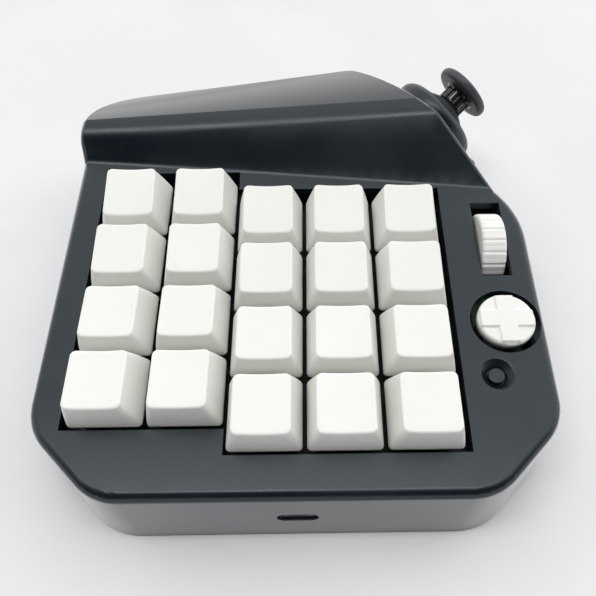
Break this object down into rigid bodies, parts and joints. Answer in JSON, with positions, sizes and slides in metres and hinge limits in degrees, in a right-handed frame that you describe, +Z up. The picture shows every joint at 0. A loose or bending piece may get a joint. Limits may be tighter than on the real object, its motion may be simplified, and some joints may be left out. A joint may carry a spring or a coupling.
{
  "type": "one-handed gaming keypad",
  "caption": "Left-hand gaming keypad with sculpted white keys in a deep black case, with a scroll wheel, a four-way pad, buttons, a tilted thumbstick and a raised palm rest.",
  "frame": {"origin": "middle of the bounding box, on the plane that the rubber feet stand on", "axes": "+Z up, +Y from the side with the cable socket towards the palm rest, +X towards the thumbstick"},
  "size_m": [0.1344, 0.1437, 0.0376],
  "materials": {
    "case_plastic": "fine-textured charcoal plastic",
    "cover_plastic": "textured black plastic",
    "keycap_white": "satin warm white",
    "control_white": "smooth warm white",
    "stick_rubber": "soft dark grey",
    "button_plastic": "smooth black",
    "switch_plastic": "dark moulded plastic",
    "stem_red": "red moulded plastic",
    "gimbal_plastic": "pale grey moulded plastic",
    "board": "green circuit board",
    "plate_metal": "grey painted steel",
    "spring_steel": "bright steel",
    "socket_metal": "plain steel",
    "shaft_metal": "plain steel",
    "screw_steel": "zinc-plated steel",
    "foot_rubber": "matt black"
  },
  "bodies": {
    "case": {"top_case": "case_plastic", "bottom_cover": "cover_plastic", "switch_plate": "plate_metal", "circuit_board": "board", "switch_housings": "switch_plastic", "switch_springs": "spring_steel", "usb_socket": "socket_metal", "cover_screws": "screw_steel", "rubber_feet": "foot_rubber", "stick_collar": "case_plastic", "stick_base": "switch_plastic", "control_switches": "switch_plastic"},
    "wheel": {"scroll_wheel": "control_white"},
    "pad_gimbal": {"dpad_gimbal": "gimbal_plastic"},
    "pad": {"dpad": "control_white"},
    "stick_gimbal": {"stick_gimbal": "gimbal_plastic"},
    "stick": {"stick_shaft": "shaft_metal", "stick_cap": "stick_rubber"},
    "round_button": {"round_button": "button_plastic"},
    "side_button": {"side_button": "button_plastic"},
    "key_r1c1": {"keycap_r1c1": "keycap_white", "stem_r1c1": "stem_red"},
    "key_r1c2": {"keycap_r1c2": "keycap_white", "stem_r1c2": "stem_red"},
    "key_r1c3": {"keycap_r1c3": "keycap_white", "stem_r1c3": "stem_red"},
    "key_r1c4": {"keycap_r1c4": "keycap_white", "stem_r1c4": "stem_red"},
    "key_r1c5": {"keycap_r1c5": "keycap_white", "stem_r1c5": "stem_red"},
    "key_r2c1": {"keycap_r2c1": "keycap_white", "stem_r2c1": "stem_red"},
    "key_r2c2": {"keycap_r2c2": "keycap_white", "stem_r2c2": "stem_red"},
    "key_r2c3": {"keycap_r2c3": "keycap_white", "stem_r2c3": "stem_red"},
    "key_r2c4": {"keycap_r2c4": "keycap_white", "stem_r2c4": "stem_red"},
    "key_r2c5": {"keycap_r2c5": "keycap_white", "stem_r2c5": "stem_red"},
    "key_r3c1": {"keycap_r3c1": "keycap_white", "stem_r3c1": "stem_red"},
    "key_r3c2": {"keycap_r3c2": "keycap_white", "stem_r3c2": "stem_red"},
    "key_r3c3": {"keycap_r3c3": "keycap_white", "stem_r3c3": "stem_red"},
    "key_r3c4": {"keycap_r3c4": "keycap_white", "stem_r3c4": "stem_red"},
    "key_r3c5": {"keycap_r3c5": "keycap_white", "stem_r3c5": "stem_red"},
    "key_r4c1": {"keycap_r4c1": "keycap_white", "stem_r4c1": "stem_red"},
    "key_r4c2": {"keycap_r4c2": "keycap_white", "stem_r4c2": "stem_red"},
    "key_r4c3": {"keycap_r4c3": "keycap_white", "stem_r4c3": "stem_red"},
    "key_r4c4": {"keycap_r4c4": "keycap_white", "stem_r4c4": "stem_red"},
    "key_r4c5": {"keycap_r4c5": "keycap_white", "stem_r4c5": "stem_red"}
  },
  "joints": [
    {"name": "key_r1c1_press", "type": "slide", "parent": "case", "child": "key_r1c1", "axis": [0, 0, -1], "range_m": [0, 0.004], "stiffness_N_per_m": 80, "springref_m": -0.006, "deforming": ["switch_springs"]},
    {"name": "key_r1c2_press", "type": "slide", "parent": "case", "child": "key_r1c2", "axis": [0, 0, -1], "range_m": [0, 0.004], "stiffness_N_per_m": 80, "springref_m": -0.006, "deforming": ["switch_springs"]},
    {"name": "key_r1c3_press", "type": "slide", "parent": "case", "child": "key_r1c3", "axis": [0, 0, -1], "range_m": [0, 0.004], "stiffness_N_per_m": 80, "springref_m": -0.006, "deforming": ["switch_springs"]},
    {"name": "key_r1c4_press", "type": "slide", "parent": "case", "child": "key_r1c4", "axis": [0, 0, -1], "range_m": [0, 0.004], "stiffness_N_per_m": 80, "springref_m": -0.006, "deforming": ["switch_springs"]},
    {"name": "key_r1c5_press", "type": "slide", "parent": "case", "child": "key_r1c5", "axis": [0, 0, -1], "range_m": [0, 0.004], "stiffness_N_per_m": 80, "springref_m": -0.006, "deforming": ["switch_springs"]},
    {"name": "key_r2c1_press", "type": "slide", "parent": "case", "child": "key_r2c1", "axis": [0, 0, -1], "range_m": [0, 0.004], "stiffness_N_per_m": 80, "springref_m": -0.006, "deforming": ["switch_springs"]},
    {"name": "key_r2c2_press", "type": "slide", "parent": "case", "child": "key_r2c2", "axis": [0, 0, -1], "range_m": [0, 0.004], "stiffness_N_per_m": 80, "springref_m": -0.006, "deforming": ["switch_springs"]},
    {"name": "key_r2c3_press", "type": "slide", "parent": "case", "child": "key_r2c3", "axis": [0, 0, -1], "range_m": [0, 0.004], "stiffness_N_per_m": 80, "springref_m": -0.006, "deforming": ["switch_springs"]},
    {"name": "key_r2c4_press", "type": "slide", "parent": "case", "child": "key_r2c4", "axis": [0, 0, -1], "range_m": [0, 0.004], "stiffness_N_per_m": 80, "springref_m": -0.006, "deforming": ["switch_springs"]},
    {"name": "key_r2c5_press", "type": "slide", "parent": "case", "child": "key_r2c5", "axis": [0, 0, -1], "range_m": [0, 0.004], "stiffness_N_per_m": 80, "springref_m": -0.006, "deforming": ["switch_springs"]},
    {"name": "key_r3c1_press", "type": "slide", "parent": "case", "child": "key_r3c1", "axis": [0, 0, -1], "range_m": [0, 0.004], "stiffness_N_per_m": 80, "springref_m": -0.006, "deforming": ["switch_springs"]},
    {"name": "key_r3c2_press", "type": "slide", "parent": "case", "child": "key_r3c2", "axis": [0, 0, -1], "range_m": [0, 0.004], "stiffness_N_per_m": 80, "springref_m": -0.006, "deforming": ["switch_springs"]},
    {"name": "key_r3c3_press", "type": "slide", "parent": "case", "child": "key_r3c3", "axis": [0, 0, -1], "range_m": [0, 0.004], "stiffness_N_per_m": 80, "springref_m": -0.006, "deforming": ["switch_springs"]},
    {"name": "key_r3c4_press", "type": "slide", "parent": "case", "child": "key_r3c4", "axis": [0, 0, -1], "range_m": [0, 0.004], "stiffness_N_per_m": 80, "springref_m": -0.006, "deforming": ["switch_springs"]},
    {"name": "key_r3c5_press", "type": "slide", "parent": "case", "child": "key_r3c5", "axis": [0, 0, -1], "range_m": [0, 0.004], "stiffness_N_per_m": 80, "springref_m": -0.006, "deforming": ["switch_springs"]},
    {"name": "key_r4c1_press", "type": "slide", "parent": "case", "child": "key_r4c1", "axis": [0, 0, -1], "range_m": [0, 0.004], "stiffness_N_per_m": 80, "springref_m": -0.006, "deforming": ["switch_springs"]},
    {"name": "key_r4c2_press", "type": "slide", "parent": "case", "child": "key_r4c2", "axis": [0, 0, -1], "range_m": [0, 0.004], "stiffness_N_per_m": 80, "springref_m": -0.006, "deforming": ["switch_springs"]},
    {"name": "key_r4c3_press", "type": "slide", "parent": "case", "child": "key_r4c3", "axis": [0, 0, -1], "range_m": [0, 0.004], "stiffness_N_per_m": 80, "springref_m": -0.006, "deforming": ["switch_springs"]},
    {"name": "key_r4c4_press", "type": "slide", "parent": "case", "child": "key_r4c4", "axis": [0, 0, -1], "range_m": [0, 0.004], "stiffness_N_per_m": 80, "springref_m": -0.006, "deforming": ["switch_springs"]},
    {"name": "key_r4c5_press", "type": "slide", "parent": "case", "child": "key_r4c5", "axis": [0, 0, -1], "range_m": [0, 0.004], "stiffness_N_per_m": 80, "springref_m": -0.006, "deforming": ["switch_springs"]},
    {"name": "wheel_turn", "type": "hinge", "parent": "case", "child": "wheel", "pos_m": [0.05415, 0.00324, 0.0188], "axis": [1, 0, 0], "continuous": true},
    {"name": "pad_tilt_y", "type": "hinge", "parent": "case", "child": "pad_gimbal", "pos_m": [0.05425, -0.02366, 0.0185], "axis": [1, 0, 0], "range_deg": [-5, 5], "stiffness_Nm_per_rad": 0.05},
    {"name": "pad_tilt_x", "type": "hinge", "parent": "pad_gimbal", "child": "pad", "pos_m": [0.05425, -0.02366, 0.0185], "axis": [0, 1, 0], "range_deg": [-5, 5], "stiffness_Nm_per_rad": 0.05},
    {"name": "stick_tilt_up", "type": "hinge", "parent": "case", "child": "stick_gimbal", "pos_m": [0.03933, 0.04928, 0.0202], "axis": [-0.5878, 0.809, 0], "range_deg": [-16, 16], "stiffness_Nm_per_rad": 0.08},
    {"name": "stick_tilt_side", "type": "hinge", "parent": "stick_gimbal", "child": "stick", "pos_m": [0.03933, 0.04928, 0.0202], "axis": [0.3673, 0.2668, -0.891], "range_deg": [-16, 16], "stiffness_Nm_per_rad": 0.08},
    {"name": "round_button_press", "type": "slide", "parent": "case", "child": "round_button", "axis": [0, 0, -1], "range_m": [0, 0.0005], "stiffness_N_per_m": 400, "springref_m": -0.001},
    {"name": "side_button_press", "type": "slide", "parent": "case", "child": "side_button", "axis": [-0.766, -0.6428, 0], "range_m": [0, 0.0005], "stiffness_N_per_m": 400, "springref_m": -0.001}
  ]
}
